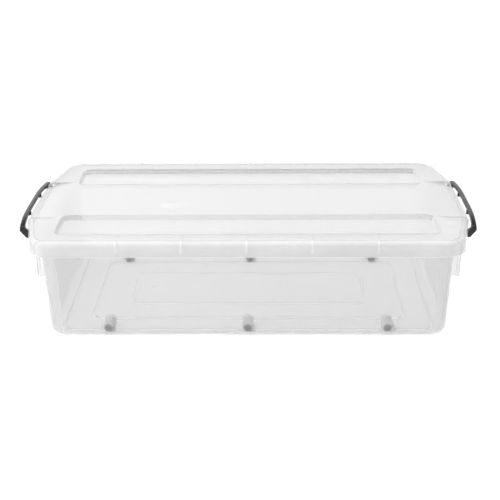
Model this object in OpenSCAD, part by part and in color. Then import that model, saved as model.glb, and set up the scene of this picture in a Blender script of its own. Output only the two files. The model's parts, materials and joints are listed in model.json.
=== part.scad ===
// Wheeled under bed storage box: open tub, lift-off lid, two hinged clip handles, six floor wheels.
// Millimetres. +X along the length (handles at both ends), +Y to the back, +Z up.
// Origin: centre of the footprint, on the floor under the wheels.

/* [Lid] */
// Lid length across the square corners, without the bowed ends
lid_l = 742; // [600:1:900]
// Lid depth, front to back
lid_d = 396; // [300:1:500]
// Height of the lid's top above the floor
lid_top = 195; // [140:1:260]
// Depth of the lid's skirt below its top
skirt_h = 27; // [18:1:40]
// Radius of the rounded bead along the lid's edge
bead_r = 10; // [5:0.5:14]
// Plan radius of the lid's corners
lid_corner_r = 38; // [20:1:60]
// Wall thickness of the lid
lid_t = 2; // [1.2:0.1:3.5]
// How far the lid's ends bow out beyond the corners' line
end_bow = 21.8; // [0:0.1:40]
// Depth of the two trays in the lid's top
tray_h = 9; // [4:0.5:12]
// Half length of the trays
tray_x = 329; // [250:1:350]
// Inner edge of each tray, from the centre line
tray_y0 = 75; // [40:1:100]
// Outer edge of each tray, from the centre line
tray_y1 = 160; // [120:1:175]
// Half width of the sloped notch in each end of the lid
end_notch_y = 88; // [50:1:95]
// Drop of the end notch at the lid's edge
end_notch_h = 11.5; // [4:0.5:14]
// Spacing of the short ribs across the front and back edges
rib_pitch = 109.8; // [60:0.1:160]

/* [Tub] */
// Half length of the tub's wall at the underside
tub_x = 351.5; // [250:0.5:400]
// Half depth of the tub's wall at the underside
tub_y = 178; // [120:0.5:230]
// Widening of each wall from underside to rim
tub_draft = 4.4; // [0:0.1:20]
// Plan radius of the tub's corners
tub_corner_r = 35; // [15:1:60]
// Radius of the tub's bottom edge
foot_r = 10; // [4:0.5:14]
// Wall thickness of the tub
tub_t = 2.2; // [1.5:0.1:4]
// Height of the tub's underside above the floor
ground_gap = 4; // [2:0.5:10]
// Height of the rim flange's top above the floor
rim_z = 180; // [120:1:240]
// Gap between the lid's skirt and the rim's lip
lip_gap = 1.2; // [0.5:0.1:3]

/* [Wheels] */
// Radius of each wheel
wheel_r = 9; // [6:0.5:16]
// Width of each wheel
wheel_w = 26; // [8:0.5:34]
// Spacing of the wheels along the box
wheel_pitch = 248.6; // [100:0.1:320]
// Distance of each wheel row from the centre line
wheel_y = 142.5; // [80:0.5:160]
// Radius of the axles
axle_r = 2.5; // [1.5:0.1:4]
// Radial running clearance of a wheel on its axle
run_gap = 0.05; // [0.01:0.01:0.1]

/* [Handles] */
// Outer face of the handle bar at its middle, from the centre
bar_x = 404.4; // [390:0.1:430]
// Half length of the handle, over its arms
bar_half = 111; // [80:1:140]
// Width of the bar
bar_w = 8.8; // [6:0.1:14]
// Height of the bar at its middle
bar_h = 5.2; // [4:0.1:12]
// Height of the bar where it meets the arms
elbow_h = 8.6; // [5:0.1:14]
// Height of the bar's top above the floor
bar_top = 189.5; // [140:0.5:250]
// How far the bar's top drops towards its ends
bar_drop = 3; // [0:0.1:8]
// Thickness of each arm
arm_t = 8.5; // [4:0.1:12]
// Pivot axis distance from the centre
piv_x = 388; // [360:0.5:410]
// Pivot axis height above the floor
piv_z = 168.6; // [120:0.1:220]
// Radius of the pivot pins
pin_r = 2; // [1.5:0.1:4]
// Radius of the round end of each arm
boss_r = 3.2; // [2.5:0.1:6]

/* [Hidden] */
skirt_z = lid_top - skirt_h;
bead_z = lid_top - bead_r;
lip_z = skirt_z - 2;
plate_z = rim_z - 2.4;
wheel_z = wheel_r;
notch_x0 = 335;
notch_x1 = 392;
slope = end_notch_h / (notch_x1 - notch_x0);
eps = 0.02;
rib_h = 1;
cut_z = 182.6;

// rounded rectangle outline with n steps in each corner
function rr(hx, hy, r, n = 8) = [for (q = [0:3]) for (i = [0:n])
  let (a = q * 90 + i * 90 / n, sx = (q == 0 || q == 3) ? 1 : -1, sy = q < 2 ? 1 : -1)
  [sx * (hx - r) + r * cos(a), sy * (hy - r) + r * sin(a)]];

// lid outline, inset by d: rounded corners, and ends that bow out to carry the handles
bow_p = [[lid_l / 2 + end_bow, 0], [lid_l / 2 + end_bow - 0.3, 42], [lid_l / 2 + end_bow - 2.2, 84]];
corner_c = [lid_l / 2 - lid_corner_r, lid_d / 2 - lid_corner_r];
tan_v = bow_p[2] - corner_c;
tan_a = atan2(tan_v[1], tan_v[0]) + acos(lid_corner_r / norm(tan_v));
function edge_a(i) = i == 0 ? -edge_a(1) : i == 3 ? tan_a : atan2(bow_p[i - 1][0] - bow_p[i][0], bow_p[i][1] - bow_p[i - 1][1]);
function unit(a) = [cos(a), sin(a)];
function mitre(i, d) = let (n1 = unit(edge_a(i)), n2 = unit(edge_a(i + 1)))
  bow_p[i] - d * (n1 + n2) / (1 + n1 * n2);
function quad(d) = concat([for (i = [0:2]) mitre(i, d)],
  [for (i = [0:9]) corner_c + (lid_corner_r - d) * unit(tan_a + (90 - tan_a) * i / 9)]);
function outline(d) = let (q = quad(d), n = len(q)) concat(q,
  [for (i = [n - 1:-1:0]) [-q[i][0], q[i][1]]],
  [for (i = [1:n - 1]) [-q[i][0], -q[i][1]]],
  [for (i = [n - 1:-1:1]) [q[i][0], -q[i][1]]]);
function at_z(p, z) = [for (v = p) [v[0], v[1], z]];

module plan(inset) { polygon(outline(inset)); }

// closed solid through a stack of outlines with equal point counts
module loft(rings) {
  n = len(rings[0]);
  m = len(rings);
  polyhedron(points = [for (r = rings) each r], faces = concat(
    [[for (i = [0:n - 1]) i]],
    [for (k = [0:m - 2], i = [0:n - 1]) [k * n + i, (k + 1) * n + i, (k + 1) * n + (i + 1) % n, k * n + (i + 1) % n]],
    [[for (i = [n - 1:-1:0]) (m - 1) * n + i]]));
}

// solid under a rounded bead: outline inset by in0, bead radius r, from z0 to the top
module bead_solid(in0, r, z0, zc) {
  loft(concat([at_z(outline(in0), z0)],
    [for (a = [0:10:90]) at_z(outline(in0 + r * (1 - cos(a))), zc + r * sin(a))]));
}

// drafted tray block between two heights
module tray(g, top, depth) {
  for (s = [-1, 1]) translate([0, s * (tray_y0 + tray_y1) / 2, 0])
    loft([at_z(rr(tray_x + g - 3.5, (tray_y1 - tray_y0) / 2 + g - 3.5, 11 + g, 5), top - depth),
      at_z(rr(tray_x + g, (tray_y1 - tray_y0) / 2 + g, 14.5 + g, 5), top)]);
}

module end_cut(drop, half) {
  for (s = [-1, 1]) scale([s, 1, 1]) translate([0, half, 0]) rotate([90, 0, 0])
    linear_extrude(2 * half)
      polygon([[notch_x0 - drop * 0.2, lid_top - drop + eps], [notch_x0, lid_top + 9], [430, lid_top + 9],
        [430, lid_top - drop - slope * (430 - notch_x0)]]);
}

module lid() color([0.9, 0.92, 0.93, 0.4]) difference() {
  union() {
    difference() {
      bead_solid(0, bead_r, skirt_z, bead_z);
      difference() {
        bead_solid(lid_t, bead_r - lid_t, skirt_z - 1, bead_z);
        // plastic kept under the trays, under the end notches and as the seat ring
        tray(lid_t, lid_top - lid_t + 1, tray_h + 1);
        end_cut(lid_t, end_notch_y + lid_t);
        translate([0, 0, rim_z + 0.05]) linear_extrude(40) difference() {
          plan(10);
          plan(12);
        }
      }
    }
    // short ribs over the front and back beads
    for (k = [-2:2], s = [-1, 1]) scale([1, s, 1])
      translate([k * rib_pitch - 1.4, 0, 0]) rotate([90, 0, 90]) linear_extrude(2.8)
        polygon(concat([[lid_d / 2 - 33, lid_top - 1], [lid_d / 2 - 32, lid_top + rib_h]],
          [for (a = [90:-15:0]) [lid_d / 2 - bead_r + (bead_r + rib_h) * cos(a), bead_z + (bead_r + rib_h) * sin(a)]],
          [[lid_d / 2 + rib_h, bead_z - 6], [lid_d / 2 - 1, bead_z - 7], [lid_d / 2 - 1, bead_z],
           [lid_d / 2 - 4, bead_z + 6], [lid_d / 2 - 10, lid_top - 1]]));
  }
  tray(0, lid_top + 0.01, tray_h + 0.01);
  end_cut(0, end_notch_y);
  // clearance in the skirt for the handles' pivots
  for (sx = [-1, 1], sy = [-1, 1])
    translate([sx * 392, sy * (bar_half - 8.5), (skirt_z - 2 + cut_z) / 2]) cube([36, 19.6, cut_z - skirt_z + 2], center = true);
}

// ---- tub ----
module tub_outer() {
  loft(concat([for (a = [0:15:90]) let (g = foot_r * (1 - sin(a)))
      at_z(rr(tub_x - g, tub_y - g, tub_corner_r - g), ground_gap + foot_r * (1 - cos(a)))],
    [at_z(rr(tub_x + tub_draft, tub_y + tub_draft, tub_corner_r + tub_draft), rim_z - 1)]));
}
module tub_inner() {
  loft(concat([for (a = [0:15:90]) let (g = tub_t + (foot_r - tub_t) * (1 - sin(a)))
      at_z(rr(tub_x - g, tub_y - g, tub_corner_r - g), ground_gap + tub_t + (foot_r - tub_t) * (1 - cos(a)))],
    [at_z(rr(tub_x + tub_draft - tub_t, tub_y + tub_draft - tub_t, tub_corner_r + tub_draft - tub_t), rim_z + 1)]));
}
module slab(hx, hy, r, z0, z1) { translate([0, 0, z0]) linear_extrude(z1 - z0) polygon(rr(hx, hy, r, 6)); }

// arch over one wheel, axis along Y
module arch(r, y0, y1, z0) {
  translate([0, y1, wheel_z]) rotate([90, 0, 0]) cylinder(r = r, h = y1 - y0, $fn = 48);
  translate([-r, y0, z0]) cube([2 * r, y1 - y0, wheel_z - z0]);
}
module each_wheel() { for (sy = [-1, 1], i = [-1:1]) translate([i * wheel_pitch, sy * wheel_y, 0]) children(); }

module ear(sx, sy) {
  y0 = bar_half - arm_t - 8;
  scale([sx, sy, 1]) translate([0, y0 + 7.4, 0]) rotate([90, 0, 0]) linear_extrude(7.4)
    polygon([[370, plate_z + 0.5], [386, plate_z + 0.5], [388.4, 175], [391.2, 172], [piv_x + 4.5, piv_z + 0.9],
      [piv_x + 4.2, piv_z - 1.9], [piv_x + 2.6, piv_z - 3.9], [piv_x, piv_z - 4.7], [380, piv_z - 4], [370, piv_z + 4]]);
}
module gusset(sx, sy) {
  scale([sx, 1, 1]) translate([0, sy * 110 + 2, 0]) rotate([90, 0, 0]) linear_extrude(4)
    polygon([[352, 95], [375, 90], [375.5, plate_z + 0.5], [352, plate_z + 0.5]]);
  scale([sx, 1, 1]) translate([371.4, sy * 110 - 5.5, 0]) rotate([90, 0, 90]) linear_extrude(4)
    polygon([[0, plate_z + 0.5], [0, 96], [3.5, 90], [7.5, 90], [11, 96], [11, plate_z + 0.5]]);
}

module tub() color([0.86, 0.88, 0.89, 0.4]) difference() {
  union() {
    difference() {
      union() {
        tub_outer();
        // rim flange and its lip
        translate([0, 0, plate_z]) linear_extrude(rim_z - plate_z) plan(lid_t + lip_gap);
        translate([0, 0, lip_z]) linear_extrude(rim_z - lip_z) difference() {
          plan(lid_t + lip_gap);
          plan(lid_t + lip_gap + 2.2);
        }
        // shoulder bead where the wall meets the flange
        translate([0, 0, plate_z - 3]) linear_extrude(4)
          polygon(rr(tub_x + tub_draft + 2.5, tub_y + tub_draft + 2.5, tub_corner_r + tub_draft + 2.5));
        for (sx = [-1, 1], sy = [-1, 1]) { ear(sx, sy); gusset(sx, sy); }
      }
      difference() {
        tub_inner();
        // stepped floor, floor panel, bead line and wheel arches stand up inside
        slab(330, 157, 22, 0, ground_gap + 2 + tub_t);
        slab(284, 116, 16, 0, ground_gap + 3.4 + tub_t);
        difference() {
          slab(219.2, 63.2, 12, 0, ground_gap + 4.2 + tub_t);
          slab(216.8, 60.8, 10, 0, ground_gap + 5 + tub_t);
        }
        each_wheel() arch(wheel_r + 2.5, -18.6, 18.6, 0);
      }
      // underside: the steps repeat below, so the floor keeps its thickness
      slab(330 - tub_t, 157 - tub_t, 20, 0, ground_gap + 2);
      slab(284 - tub_t, 116 - tub_t, 14, 0, ground_gap + 3.4);
    }
    // pads around the wheel openings
    each_wheel() translate([0, 0, ground_gap]) difference() {
      translate([0, 0, 1.6]) cube([2 * wheel_r + 11, 41, 3.2], center = true);
      translate([0, 0, 1.6]) cube([2 * wheel_r + 1, 28, 5], center = true);
    }
  }
  each_wheel() {
    arch(wheel_r + 0.9, -15, 15, 0);
    // snap slots that hold the axle's ends
    translate([0, 17.8, wheel_z]) rotate([90, 0, 0]) cylinder(r = axle_r, h = 35.6, $fn = 32);
    translate([-axle_r + 0.4, -17.8, 0]) cube([2 * axle_r - 0.8, 35.6, wheel_z - 1.6]);
  }
  // bores for the handles' pivot pins
  for (sx = [-1, 1], sy = [-1, 1])
    translate([sx * piv_x, sy * (bar_half - arm_t - 4.3) + 5, piv_z]) rotate([90, 0, 0]) cylinder(r = pin_r + 0.05, h = 10, $fn = 32);
  // notches in the rim that the handles' arms fold into
  for (sx = [-1, 1], sy = [-1, 1])
    translate([sx * (piv_x - 3.4 + 10), sy * (bar_half - arm_t / 2), rim_z - 9]) cube([20, arm_t + 0.8, 34], center = true);
  // gate marks
  for (sx = [-1, 1]) translate([sx * 185, 10, ground_gap + 3.4 + tub_t - 0.4]) cylinder(r = 4, h = 3, $fn = 24);
}

// ---- handles ----
// bar as a run of rounded sections: outer face, top and height at a distance t from its middle
function face_x(t) = bar_x - 0.00082 * pow(max(0, abs(t) - 30), 2);
function past(t) = max(0, abs(t) - 48) / (bar_half - 50);
function top_z(t) = bar_top - bar_drop * past(t) * past(t);
function high(t) = bar_h + (elbow_h - bar_h) * pow(min(1, past(t)), 1.5);
function section(t, g) = [for (p = rr(bar_w / 2 - g, high(t) / 2 - g, 2 - g, 4))
  [p[0] + face_x(t) - bar_w / 2, p[1] + top_z(t) - high(t) / 2, t]];
half_t = concat([[bar_half, 1.1], [bar_half - 0.35, 0.45], [bar_half - 1.1, 0]], [for (t = [104:-8:48]) [t, 0]], [[32, 0], [16, 0]]);
bar_t = concat([for (h = half_t) [-h[0], h[1]]], [[0, 0]], [for (i = [len(half_t) - 1:-1:0]) half_t[i]]);

module handle(sx) color([0.1, 0.1, 0.11]) scale([sx, 1, 1]) {
  rotate([90, 0, 0]) loft([for (b = bar_t) section(b[0], b[1])]);
  for (sy = [-1, 1]) scale([1, sy, 1]) {
    // arm down to the pivot
    translate([0, bar_half - 0.3, 0]) rotate([90, 0, 0]) linear_extrude(arm_t - 0.3) union() {
      polygon([[397.3, 184.5], [398.8, 182], [399.6, 180], [399.6, 178.8], [398.9, 177.7], [piv_x + 1.6, 166], [385.6, 164.6],
        [385.2, 165], [385.2, 167], [385.6, 176.6], [386, 177.3], [390.2, 181.2], [390.6, 184.5]]);
      translate([piv_x, piv_z]) circle(r = boss_r, $fn = 32);
    }
    // pivot pin, pointing to the middle of the box
    translate([piv_x, bar_half - arm_t + 1, piv_z]) rotate([90, 0, 0]) cylinder(r = pin_r, h = 8.6, $fn = 32);
    // clip lug that reaches over the lid's edge
    translate([0, 0, 181.4]) linear_extrude(7) {
      translate([397.4, 43]) circle(r = 4, $fn = 32);
      translate([397.4, 39]) square([3, 8]);
    }
  }
}

// ---- wheels and axles ----
module wheel(i, sy) color([0.45, 0.46, 0.47]) translate([i * wheel_pitch, sy * wheel_y, wheel_z]) rotate([90, 0, 0])
  translate([0, 0, -wheel_w / 2]) rotate_extrude($fn = 64) polygon([[axle_r + run_gap, 0], [4.4, 0], [4.4, 0.8],
    [wheel_r - 1.6, 0.8], [wheel_r, 2], [wheel_r, wheel_w - 2], [wheel_r - 1.6, wheel_w - 0.6], [7, wheel_w - 0.6], [6.4, wheel_w - 2.2],
    [axle_r + run_gap, wheel_w - 2.2]]);
module axle(i, sy) color([0.25, 0.25, 0.26]) translate([i * wheel_pitch, sy * wheel_y, wheel_z]) rotate([90, 0, 0]) {
  translate([0, 0, -17.8]) cylinder(r = axle_r, h = 35.6, $fn = 32);
  // collar at the front end
  translate([0, 0, wheel_w / 2 - 1.8]) cylinder(r = 5.6, h = 3.4, $fn = 32);
}

tub();
lid();
handle(-1);  // handle_left
handle(1);  // handle_right
wheel(-1, -1);  // wheel_front_left
wheel(0, -1);  // wheel_front_middle
wheel(1, -1);  // wheel_front_right
wheel(-1, 1);  // wheel_rear_left
wheel(0, 1);  // wheel_rear_middle
wheel(1, 1);  // wheel_rear_right
axle(-1, -1);  // axle_front_left
axle(0, -1);  // axle_front_middle
axle(1, -1);  // axle_front_right
axle(-1, 1);  // axle_rear_left
axle(0, 1);  // axle_rear_middle
axle(1, 1);  // axle_rear_right
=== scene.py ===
import json
import math

import bpy
from mathutils import Matrix, Vector

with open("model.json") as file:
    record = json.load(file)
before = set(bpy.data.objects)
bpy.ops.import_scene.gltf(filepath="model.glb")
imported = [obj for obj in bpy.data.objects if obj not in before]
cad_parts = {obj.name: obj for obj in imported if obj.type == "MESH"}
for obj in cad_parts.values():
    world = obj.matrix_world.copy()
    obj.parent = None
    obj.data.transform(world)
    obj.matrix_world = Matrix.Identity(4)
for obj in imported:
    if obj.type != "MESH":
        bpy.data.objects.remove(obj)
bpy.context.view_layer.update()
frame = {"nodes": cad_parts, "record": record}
nodes = frame["nodes"]
scene = bpy.context.scene


# ---------- node helpers ----------
class Mat:
    """A node material with short calls for the nodes that it needs."""

    def __init__(self, name):
        self.mat = bpy.data.materials.new(name)
        self.mat.use_nodes = True
        self.nt = self.mat.node_tree
        self.nt.nodes.clear()
        self.out = self.node("ShaderNodeOutputMaterial")
        self.coord = self.node("ShaderNodeTexCoord").outputs["Object"]

    def node(self, kind, **props):
        n = self.nt.nodes.new(kind)
        for k, v in props.items():
            setattr(n, k, v)
        return n

    def link(self, a, b):
        self.nt.links.new(a, b)

    def put(self, socket, value):
        if isinstance(value, bpy.types.NodeSocket):
            self.link(value, socket)
        else:
            socket.default_value = value

    def noise(self, scale, detail=3.0, rough=0.55, distortion=0.0, stretch=(1, 1, 1)):
        m = self.node("ShaderNodeMapping")
        self.link(self.coord, m.inputs["Vector"])
        m.inputs["Scale"].default_value = stretch
        n = self.node("ShaderNodeTexNoise")
        self.link(m.outputs["Vector"], n.inputs["Vector"])
        n.inputs["Scale"].default_value = scale
        n.inputs["Detail"].default_value = detail
        n.inputs["Roughness"].default_value = rough
        n.inputs["Distortion"].default_value = distortion
        return n.outputs["Fac"]

    def span(self, value, lo, hi, to_lo, to_hi, clamp=True):
        n = self.node("ShaderNodeMapRange")
        n.clamp = clamp
        self.put(n.inputs["Value"], value)
        for k, v in (("From Min", lo), ("From Max", hi), ("To Min", to_lo), ("To Max", to_hi)):
            self.put(n.inputs[k], v)
        return n.outputs["Result"]

    def math(self, op, a, b=None, clamp=False):
        n = self.node("ShaderNodeMath", operation=op, use_clamp=clamp)
        self.put(n.inputs[0], a)
        if b is not None:
            self.put(n.inputs[1], b)
        return n.outputs[0]

    def mix(self, fac, a, b):
        n = self.node("ShaderNodeMix", data_type="RGBA")
        self.put(n.inputs["Factor"], fac)
        self.put(n.inputs[6], a)
        self.put(n.inputs[7], b)
        return n.outputs[2]

    def bump(self, height, strength, distance, normal=None):
        n = self.node("ShaderNodeBump")
        n.inputs["Strength"].default_value = strength
        n.inputs["Distance"].default_value = distance
        self.link(height, n.inputs["Height"])
        if normal is not None:
            self.link(normal, n.inputs["Normal"])
        return n.outputs["Normal"]

    def principled(self, **values):
        n = self.node("ShaderNodeBsdfPrincipled")
        for k, v in values.items():
            self.put(n.inputs[k.replace("_", " ")], v)
        return n


def grey(v, blue=0.0):
    return (v, v, v + blue, 1.0)


# ---------- clear plastic ----------
def clear_plastic(name, tint, tint_edge, edge_from, haze, haze_edge, haze_side, side_y, side_z, body, rough, seed, painted_shade_step, rib_light_shade=0.0, floor_lines=False):
    """A thin clear wall: each face passes light with a slight tint that deepens where it is seen edge on,
    mirrors its surroundings by Fresnel, and holds a milky haze with flow marks from moulding, milkier in
    the thicker rim. Shadow rays pass it almost freely, as the real thin sheet lets the light through."""
    m = Mat(name)
    facing = m.node("ShaderNodeLayerWeight")
    facing.inputs["Blend"].default_value = 0.5
    cloudy = m.noise(7.0 + seed, detail=4.0, rough=0.6, stretch=(0.6, 1.0, 1.0))
    flow = m.noise(30.0, detail=2.0, rough=0.5, distortion=0.8, stretch=(0.25, 1.0, 1.3))
    fine = m.noise(900.0, detail=2.0)
    micro = m.noise(420.0, detail=2.0)
    # bump: slow waves of the moulded sheet and a fine grain
    wave = m.bump(flow, 0.01, 0.0002)
    grain = m.bump(micro, 0.04, 0.00002, wave)
    m.link(wave, facing.inputs["Normal"])
    edge = m.span(facing.outputs["Facing"], edge_from, 1.0, 0.0, 1.0)
    edge = m.math("POWER", edge, 2.2)
    shade = m.span(cloudy, 0.3, 0.7, -0.10, 0.10)
    place = m.node("ShaderNodeSeparateXYZ")
    m.link(m.coord, place.inputs[0])
    # painted shade: the tint darkens towards one end, standing in for the light falling off across the box
    painted_shade_x = m.span(place.outputs["X"], -0.28, 0.20, 0.0, 1.0)
    base = m.mix(painted_shade_x, grey(tint, 0.001), grey(tint - painted_shade_step, 0.001))
    tinted = m.mix(m.math("ADD", edge, shade, clamp=True), base, grey(tint_edge, 0.003))
    path = m.node("ShaderNodeLightPath")
    shadow = m.math("MAXIMUM", path.outputs["Is Shadow Ray"], path.outputs["Is Diffuse Ray"])
    tinted = m.mix(m.math("MULTIPLY", shadow, 0.85), tinted, grey(1.0))
    roughness = m.span(m.math("ADD", cloudy, m.math("MULTIPLY", fine, 0.35)), 0.4, 1.0, rough * 0.7, rough * 1.5)
    surface = m.principled(
        Base_Color=m.mix(cloudy, grey(body), grey(body * 0.95)), Roughness=roughness, IOR=1.49,
        Normal=grain,
    )
    fres = m.node("ShaderNodeFresnel")
    fres.inputs["IOR"].default_value = 1.49
    m.link(grain, fres.inputs["Normal"])
    # the rim and the skirt are thicker, so they are milkier than the flat walls
    far_y = m.span(m.math("ABSOLUTE", place.outputs["Y"]), side_y - 0.003, side_y + 0.001, 0.0, 1.0)
    high_z = m.span(place.outputs["Z"], side_z - 0.004, side_z + 0.002, 0.0, 1.0)
    side = m.math("MULTIPLY", far_y, high_z)
    milky = m.span(edge, 0.0, 1.0, haze, haze_edge)
    milky = m.math("ADD", milky, m.math("MULTIPLY", side, haze_side))
    # small ribs across the long edges: a painted highlight as a pale crest, with a painted shadow as a darker
    # foot on one side
    along = m.math("DIVIDE", m.math("ADD", place.outputs["X"], 0.0549), 0.1098)
    along = m.math("MULTIPLY", m.math("SUBTRACT", m.math("FRACT", along), 0.5), 0.1098)
    rib_crest_highlight = m.math("MULTIPLY", m.span(m.math("ABSOLUTE", along), 0.0010, 0.0019, 1.0, 0.0), rib_light_shade)
    foot = m.math("MULTIPLY", m.span(m.math("ABSOLUTE", m.math("SUBTRACT", along, 0.0024)), 0.0005, 0.0013, 1.0, 0.0), rib_light_shade)
    near_y = m.span(m.math("ABSOLUTE", place.outputs["Y"]), 0.166, 0.170, 0.0, 1.0)
    inner_x = m.span(m.math("ABSOLUTE", place.outputs["X"]), 0.224, 0.226, 1.0, 0.0)
    where = m.math("MULTIPLY", m.math("MULTIPLY", near_y, inner_x), m.span(place.outputs["Z"], 0.1735, 0.1765, 0.0, 1.0))
    # painted highlight: the rib crest is made milkier and paler
    milky = m.math("ADD", milky, m.math("MULTIPLY", m.math("MULTIPLY", rib_crest_highlight, where), 0.07))
    # painted shadow: a darker tint along the foot on one side of each rib
    tinted = m.mix(m.math("MULTIPLY", m.math("MULTIPLY", foot, where), m.math("SUBTRACT", 1.0, shadow)), tinted, grey(0.80))
    milky = m.math("MULTIPLY", milky, m.span(cloudy, 0.3, 0.7, 0.85, 1.15))
    fac = m.math("ADD", milky, m.math("MULTIPLY", fres.outputs["Fac"], 0.5), clamp=True)
    fac = m.math("MULTIPLY", fac, m.math("SUBTRACT", 1.0, m.math("MULTIPLY", shadow, 0.85)))
    if floor_lines:
        # the small steps and bead of the floor draw thin darker lines, as do the two gate marks
        on_floor = m.span(place.outputs["Z"], 0.0115, 0.0130, 1.0, 0.0)
        ax = m.math("ABSOLUTE", place.outputs["X"])
        ay = m.math("ABSOLUTE", place.outputs["Y"])
        dark = None
        for a, b, r in ((0.3300, 0.1570, 0.022), (0.2840, 0.1160, 0.016), (0.2180, 0.0620, 0.011)):
            qx = m.math("MAXIMUM", m.math("SUBTRACT", ax, a - r), 0.0)
            qy = m.math("MAXIMUM", m.math("SUBTRACT", ay, b - r), 0.0)
            away = m.math("SQRT", m.math("ADD", m.math("MULTIPLY", qx, qx), m.math("MULTIPLY", qy, qy)))
            off = m.math("ABSOLUTE", m.math("SUBTRACT", away, r))
            line = m.span(off, 0.0014, 0.0034, 1.0, 0.0)
            dark = line if dark is None else m.math("MAXIMUM", dark, line)
        gx = m.math("SUBTRACT", ax, 0.185)
        gy = m.math("SUBTRACT", place.outputs["Y"], 0.010)
        away = m.math("SQRT", m.math("ADD", m.math("MULTIPLY", gx, gx), m.math("MULTIPLY", gy, gy)))
        ring = m.span(m.math("ABSOLUTE", m.math("SUBTRACT", away, 0.0035)), 0.0012, 0.0024, 1.0, 0.0)
        dark = m.math("MULTIPLY", m.math("MAXIMUM", dark, ring), on_floor)
        fac = m.math("MULTIPLY", fac, m.math("SUBTRACT", 1.0, m.math("MULTIPLY", dark, 0.7)))
        tinted = m.mix(m.math("MULTIPLY", dark, m.math("SUBTRACT", 1.0, shadow)), tinted, grey(tint - 0.05))
        # the curved foot of the long walls is thick, so it is darker
        low = m.math("MULTIPLY", m.span(place.outputs["Z"], 0.0050, 0.0085, 1.0, 0.0), m.span(ay, 0.166, 0.170, 0.0, 1.0))
        tinted = m.mix(m.math("MULTIPLY", low, m.math("SUBTRACT", 1.0, shadow)), tinted, grey(0.87))
    through = m.node("ShaderNodeBsdfTransparent")
    m.link(tinted, through.inputs["Color"])
    mixed = m.node("ShaderNodeMixShader")
    m.link(fac, mixed.inputs["Fac"])
    m.link(through.outputs[0], mixed.inputs[1])
    m.link(surface.outputs[0], mixed.inputs[2])
    m.link(mixed.outputs[0], m.out.inputs["Surface"])
    return m.mat


def handle_plastic():
    """Dark satin plastic with a fine moulded grain, paler rubbed spots and small scratches."""
    m = Mat("handle_satin_black")
    patches = m.noise(45.0, detail=5.0, rough=0.65)
    grain = m.noise(1600.0, detail=2.0, rough=0.5)
    scratch = m.noise(220.0, detail=3.0, rough=0.7, distortion=1.5, stretch=(3.0, 0.15, 3.0))
    geo = m.node("ShaderNodeNewGeometry")
    worn = m.span(geo.outputs["Pointiness"], 0.52, 0.60, 0.0, 1.0)
    colour = m.mix(patches, grey(0.006), grey(0.011))
    colour = m.mix(m.math("MULTIPLY", worn, 0.2), colour, grey(0.06))
    rough = m.span(m.math("ADD", patches, m.math("MULTIPLY", scratch, 0.4)), 0.4, 1.0, 0.10, 0.20)
    n1 = m.bump(grain, 0.25, 0.00008)
    n2 = m.bump(scratch, 0.08, 0.00008, n1)
    s = m.principled(Base_Color=colour, Roughness=rough, IOR=1.43, Normal=n2)
    m.link(s.outputs[0], m.out.inputs["Surface"])
    return m.mat


def wheel_plastic():
    """Grey nylon roller: matte, dusty on the tread, with fine turning lines and painted light that makes the
    faces turned to the front paler where they lie in shade.
    """
    m = Mat("wheel_grey")
    dust = m.noise(90.0, detail=5.0, rough=0.7)
    rings = m.noise(500.0, detail=1.0, stretch=(0.05, 1.0, 0.05))
    fleck = m.noise(900.0, detail=2.0)
    colour = m.mix(m.span(dust, 0.3, 0.75, 0.0, 1.0), grey(0.20), grey(0.30))
    colour = m.mix(m.span(fleck, 0.62, 0.72, 0.0, 0.5), colour, grey(0.16))
    place = m.node("ShaderNodeSeparateXYZ")
    m.link(m.node("ShaderNodeNewGeometry").outputs["Position"], place.inputs[0])
    y = place.outputs["Y"]
    # painted light: the faces turned towards the front, which lie in shade, are lightened
    painted_light_faces = m.math("MAXIMUM", m.span(y, -0.1530, -0.1538, 0.0, 1.0), m.math(
        "MULTIPLY", m.span(y, 0.1320, 0.1312, 0.0, 1.0), m.span(y, 0.0, 0.01, 0.0, 1.0)))
    colour = m.mix(m.math("MULTIPLY", painted_light_faces, 0.8), colour, grey(0.72))
    n1 = m.bump(rings, 0.3, 0.0001)
    n2 = m.bump(fleck, 0.15, 0.00005, n1)
    s = m.principled(Base_Color=colour, Roughness=m.span(dust, 0.3, 0.7, 0.45, 0.68), IOR=1.5, Normal=n2)
    m.link(s.outputs[0], m.out.inputs["Surface"])
    return m.mat


def axle_plastic():
    """Darker grey axle, polished a little where the roller turns on it."""
    m = Mat("axle_dark_grey")
    worn = m.noise(140.0, detail=4.0, rough=0.65)
    lines = m.noise(700.0, detail=1.0, stretch=(1.0, 0.05, 1.0))
    colour = m.mix(m.span(worn, 0.35, 0.7, 0.0, 1.0), grey(0.16), grey(0.22))
    n1 = m.bump(lines, 0.2, 0.00006)
    s = m.principled(Base_Color=colour, Roughness=m.span(worn, 0.3, 0.7, 0.32, 0.5), IOR=1.5, Normal=n1)
    m.link(s.outputs[0], m.out.inputs["Surface"])
    return m.mat


mats = {
    "tub_plastic": clear_plastic("tub_clear", 0.936, 0.945, 0.60, 0.07, 0.16, 0.18, 0.0, 0.174, 0.80, 0.20, 0.0, 0.014, 0.0, True),
    "lid_plastic": clear_plastic("lid_clear", 0.895, 0.910, 0.60, 0.09, 0.18, 0.24, 0.190, 0.160, 0.90, 0.22, 1.7, 0.024, 1.0),
    "handle_plastic": handle_plastic(),
    "wheel_plastic": wheel_plastic(),
    "axle_plastic": axle_plastic(),
}
slot_of = {s["node"]: s["material_slot"] for s in frame["record"]["subparts"]}
for name, obj in nodes.items():
    mat = mats[slot_of[name]]
    if not obj.material_slots:
        obj.data.materials.append(mat)
    for s in obj.material_slots:
        s.material = mat
    # soft shading over the small facets, with the real edges kept sharp
    obj.data.polygons.foreach_set("use_smooth", [True] * len(obj.data.polygons))
    weld = obj.modifiers.new("weld", "WELD")
    weld.merge_threshold = 2e-6
    split = obj.modifiers.new("edges", "EDGE_SPLIT")
    split.split_angle = math.radians(28)

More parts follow.
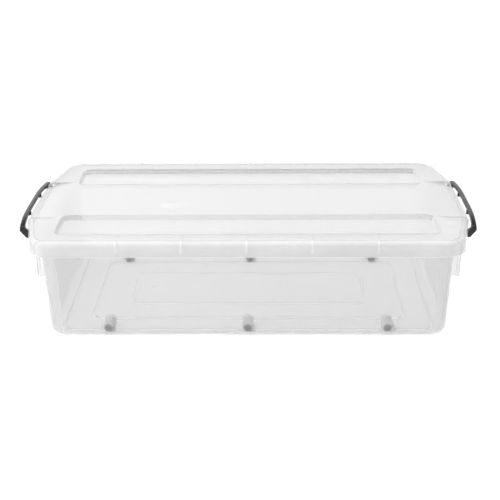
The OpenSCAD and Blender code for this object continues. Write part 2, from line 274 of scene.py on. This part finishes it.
# ---------- floor ----------
floor_mesh = bpy.data.meshes.new("floor")
floor_mesh.from_pydata([(-30, -30, 0), (30, -30, 0), (30, 30, 0), (-30, 30, 0)], [], [(0, 1, 2, 3)])
floor = bpy.data.objects.new("floor", floor_mesh)
scene.collection.objects.link(floor)
fm = Mat("floor_paper")
mottle = fm.noise(3.0, detail=3.0)
tooth = fm.noise(300.0, detail=2.0)
paper = fm.principled(
    Base_Color=fm.mix(mottle, grey(0.93), grey(0.95)), Roughness=0.85,
    Normal=fm.bump(tooth, 0.05, 0.0002),
)
fm.link(paper.outputs[0], fm.out.inputs["Surface"])
floor_mesh.materials.append(fm.mat)

# ---------- light ----------
world = bpy.data.worlds.new("studio")
scene.world = world
world.use_nodes = True
wn = world.node_tree
wn.nodes.clear()
w_out = wn.nodes.new("ShaderNodeOutputWorld")
w_bg = wn.nodes.new("ShaderNodeBackground")
w_coord = wn.nodes.new("ShaderNodeTexCoord")
w_sep = wn.nodes.new("ShaderNodeSeparateXYZ")
w_ramp = wn.nodes.new("ShaderNodeValToRGB")
wn.links.new(w_coord.outputs["Generated"], w_sep.inputs[0])
wn.links.new(w_sep.outputs["Z"], w_ramp.inputs["Fac"])
# a bright backdrop up to 25 degrees, a dark ceiling above it that the soft boxes hang from
els = w_ramp.color_ramp.elements
els[0].position, els[0].color = 0.0, (1.15, 1.15, 1.15, 1)
els[1].position, els[1].color = 0.20, (1.25, 1.25, 1.25, 1)
e = els.new(0.26)
e.color = (1.45, 1.45, 1.45, 1)
e = els.new(0.44)
e.color = (1.45, 1.45, 1.45, 1)
e = els.new(0.48)
e.color = (0.22, 0.22, 0.22, 1)
e = els.new(1.0)
e.color = (0.5, 0.5, 0.5, 1)
w_side = wn.nodes.new("ShaderNodeMapRange")
w_side.inputs["From Min"].default_value, w_side.inputs["From Max"].default_value = -0.35, 0.1
w_side.inputs["To Min"].default_value, w_side.inputs["To Max"].default_value = 0.5, 1.0
wn.links.new(w_sep.outputs["Y"], w_side.inputs["Value"])
wn.links.new(w_ramp.outputs["Color"], w_bg.inputs["Color"])
w_left = wn.nodes.new("ShaderNodeMapRange")
w_left.inputs["From Min"].default_value, w_left.inputs["From Max"].default_value = -0.35, 0.35
w_left.inputs["To Min"].default_value, w_left.inputs["To Max"].default_value = 1.08, 0.76
wn.links.new(w_sep.outputs["X"], w_left.inputs["Value"])
w_both = wn.nodes.new("ShaderNodeMath")
w_both.operation = "MULTIPLY"
wn.links.new(w_side.outputs["Result"], w_both.inputs[0])
wn.links.new(w_left.outputs["Result"], w_both.inputs[1])
wn.links.new(w_both.outputs[0], w_bg.inputs["Strength"])
wn.links.new(w_bg.outputs[0], w_out.inputs["Surface"])


def area(name, where, at, size, power):
    d = bpy.data.lights.new(name, "AREA")
    d.shape = "RECTANGLE"
    d.size, d.size_y = size
    d.energy = power
    o = bpy.data.objects.new(name, d)
    o.location = where
    o.rotation_mode = "QUATERNION"
    o.rotation_quaternion = (Vector(at) - Vector(where)).to_track_quat("-Z", "Y")
    scene.collection.objects.link(o)
    return o


area("overhead", (0.0, -0.1, 2.4), (0, 0, 0.1), (2.2, 1.0), 5)
sun_data = bpy.data.lights.new("wide_soft_light", "SUN")
sun_data.energy = 2.5
sun_data.angle = math.radians(60)
sun = bpy.data.objects.new("wide_soft_light", sun_data)
sun.rotation_mode = "QUATERNION"
sun.rotation_quaternion = Vector((0.25, 0.35, -1.0)).to_track_quat("-Z", "Y")
scene.collection.objects.link(sun)

# ---------- camera ----------
F_PX, PITCH, YAW, ROLL = 949.334, 25.0029, -1.0849, -0.5417
POS = Vector((0.0331141, -1.6284255, 0.8490897))
t, p, r = (math.radians(v) for v in (PITCH, YAW, ROLL))
fw = Vector((math.sin(p) * math.cos(t), math.cos(p) * math.cos(t), -math.sin(t)))
rt = Vector((math.cos(p), -math.sin(p), 0))
up = rt.cross(fw)
right = rt * math.cos(r) + up * math.sin(r)
upward = -rt * math.sin(r) + up * math.cos(r)
cam_data = bpy.data.cameras.new("camera")
cam_data.sensor_width = 36.0
cam_data.lens = F_PX * 36.0 / 500.0
cam_data.clip_start, cam_data.clip_end = 0.05, 100
cam = bpy.data.objects.new("camera", cam_data)
rot = Matrix((right, upward, -fw)).transposed()
cam.matrix_world = Matrix.Translation(POS) @ rot.to_4x4()
scene.collection.objects.link(cam)
scene.camera = cam

scene.view_settings.view_transform = "Standard"
scene.view_settings.look = "None"
scene.cycles.transparent_max_bounces = 48
scene.cycles.max_bounces = 12
